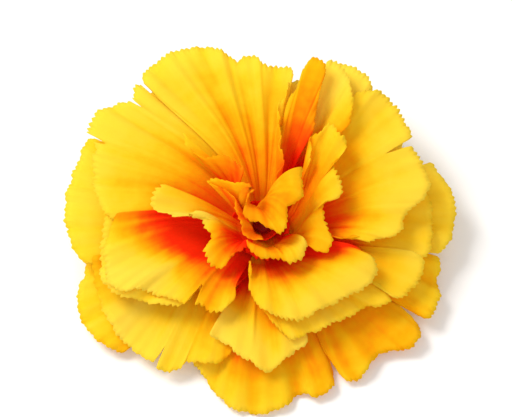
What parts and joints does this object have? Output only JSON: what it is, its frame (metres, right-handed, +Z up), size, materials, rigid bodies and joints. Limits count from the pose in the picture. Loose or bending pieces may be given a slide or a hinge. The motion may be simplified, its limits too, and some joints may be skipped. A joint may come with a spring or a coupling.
{
  "type": "silk carnation head",
  "caption": "Stemless silk carnation head: stacked die-cut cloth discs with pinked, ruffled lobes on a flat-footed calyx, lying face up.",
  "frame": {"origin": "middle of the calyx's flat foot, on the surface that the flower lies on", "axes": "+Z up through the pin and the flower's middle, -Y towards the low front petals"},
  "size_m": [0.0948, 0.0894, 0.028],
  "materials": {
    "petal_cloth": "dyed polyester cloth, yellow with a red-orange centre, matt, with a pinked edge",
    "calyx_plastic": "moulded green polyethylene",
    "pin_plastic": "moulded red polyethylene"
  },
  "bodies": {
    "root": {"calyx": "calyx_plastic", "pin": "pin_plastic", "petal_layer_1": "petal_cloth", "petal_layer_2": "petal_cloth", "petal_layer_3": "petal_cloth", "petal_layer_4": "petal_cloth", "petal_layer_5": "petal_cloth", "petal_layer_6": "petal_cloth", "petal_layer_7": "petal_cloth"}
  },
  "joints": []
}
